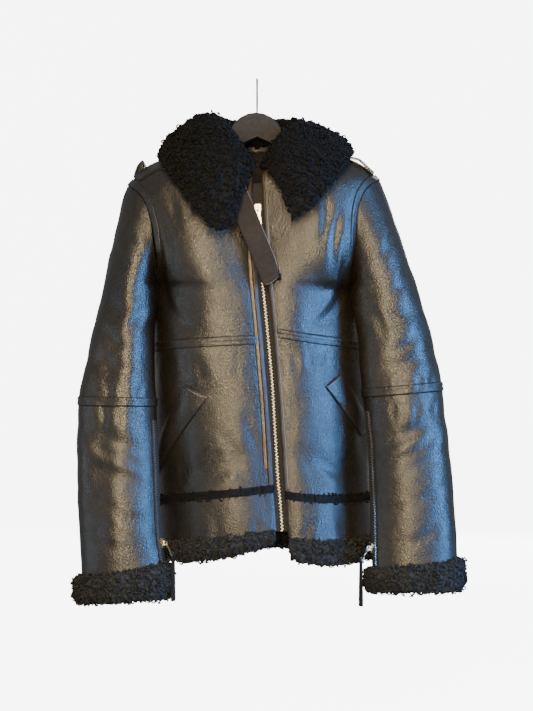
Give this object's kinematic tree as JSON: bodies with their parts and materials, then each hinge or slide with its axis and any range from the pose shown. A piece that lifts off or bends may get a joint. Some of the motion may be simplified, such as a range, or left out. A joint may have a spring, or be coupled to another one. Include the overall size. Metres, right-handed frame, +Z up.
{
  "type": "shearling leather jacket on a hanger",
  "caption": "Black shearling aviator jacket, fully zipped, hanging on a coat hanger, with a broad wool collar, wool cuffs and hem, zipped cuffs and a throat strap.",
  "frame": {"origin": "underside of the top of the hanger's hook, where a rail bears", "axes": "+X to the viewer's right (the wearer's left), -Y the jacket's front, +Z up"},
  "size_m": [0.6666, 0.2803, 0.899],
  "materials": {
    "leather": "semi-gloss, fine grain",
    "strap": "matte",
    "fur": "curly wool",
    "cloth": "woven zip tape",
    "metal": "pale polished metal",
    "steel": "plain wire",
    "hanger": "matte black"
  },
  "bodies": {
    "jacket": {"armhole_binding_back_left": "leather", "armhole_binding_back_right": "leather", "armhole_binding_front_left": "leather", "armhole_binding_front_right": "leather", "back_lower": "leather", "back_upper": "leather", "chest_tape_back": "leather", "chest_tape_left": "leather", "chest_tape_right": "leather", "collar_fur": "fur", "collar_leather": "leather", "cuff_fur_left": "fur", "cuff_fur_right": "fur", "cuff_slider_left": "metal", "cuff_slider_right": "metal", "cuff_zip_chain_left": "metal", "cuff_zip_chain_right": "metal", "cuff_zip_tape_left": "cloth", "cuff_zip_tape_right": "cloth", "elbow_band_left": "leather", "elbow_band_right": "leather", "epaulette_left": "leather", "epaulette_right": "leather", "front_left_lower": "leather", "front_left_upper": "leather", "front_right_lower": "leather", "front_right_upper": "leather", "hanger_body": "hanger", "hem_band_back": "leather", "hem_band_front_left": "leather", "hem_band_front_right": "leather", "hem_fur_back": "fur", "hem_fur_front_left": "fur", "hem_fur_front_right": "fur", "hem_trim_fur_back": "fur", "hem_trim_fur_left": "fur", "hem_trim_fur_right": "fur", "hook": "steel", "placket_left": "leather", "placket_right": "leather", "pocket_welt_left": "leather", "pocket_welt_right": "leather", "sleeve_left_lower": "leather", "sleeve_left_upper": "leather", "sleeve_right_lower": "leather", "sleeve_right_upper": "leather", "throat_strap": "strap", "throat_strap_fur": "fur", "zip_chain": "metal", "zip_slider": "metal", "zip_tape": "cloth"},
    "zip_pull": {"zip_pull": "metal"},
    "cuff_pull_right": {"cuff_pull_right": "metal", "cuff_puller_right": "strap"},
    "cuff_pull_left": {"cuff_pull_left": "metal", "cuff_puller_left": "strap"}
  },
  "joints": [
    {"name": "zip_pull_hinge", "type": "hinge", "parent": "jacket", "child": "zip_pull", "pos_m": [0.00137, -0.07868, -0.226], "axis": [-1, 0, 0], "range_deg": [0, 30]},
    {"name": "cuff_pull_right_hinge", "type": "hinge", "parent": "jacket", "child": "cuff_pull_right", "pos_m": [-0.15379, -0.08937, -0.78962], "axis": [-0.3981, -0.9173, 0], "range_deg": [0, 60]},
    {"name": "cuff_pull_left_hinge", "type": "hinge", "parent": "jacket", "child": "cuff_pull_left", "pos_m": [0.1883, -0.08787, -0.79798], "axis": [-0.3775, 0.926, 0], "range_deg": [0, 60]}
  ]
}
